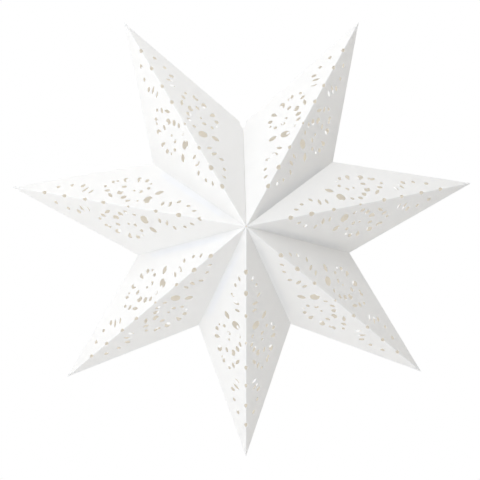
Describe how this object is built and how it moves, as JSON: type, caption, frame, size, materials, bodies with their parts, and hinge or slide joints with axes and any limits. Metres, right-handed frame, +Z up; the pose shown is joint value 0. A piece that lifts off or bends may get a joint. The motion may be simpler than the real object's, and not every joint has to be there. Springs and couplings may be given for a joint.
{
  "type": "paper star lampshade",
  "caption": "Hanging star-shaped lampshade of folded white card, with hollow ridged points pierced by small cut-outs and a cord opening at the top.",
  "frame": {"origin": "middle of the cord opening at the top of the seam, in the star's mid-plane", "axes": "+Z up along the seam, the way the cord leaves; the star lies in the XZ plane with its front towards -Y"},
  "size_m": [0.707, 0.2092, 0.6699],
  "materials": {
    "card": "matt white card",
    "adhesive": "clear double-sided tape"
  },
  "bodies": {
    "root": {"point_top_left": "card", "point_left": "card", "point_lower_left": "card", "point_bottom": "card", "point_lower_right": "card", "point_right": "card", "point_top_right": "card", "closing_strip_front": "adhesive", "closing_strip_back": "adhesive"}
  },
  "joints": []
}
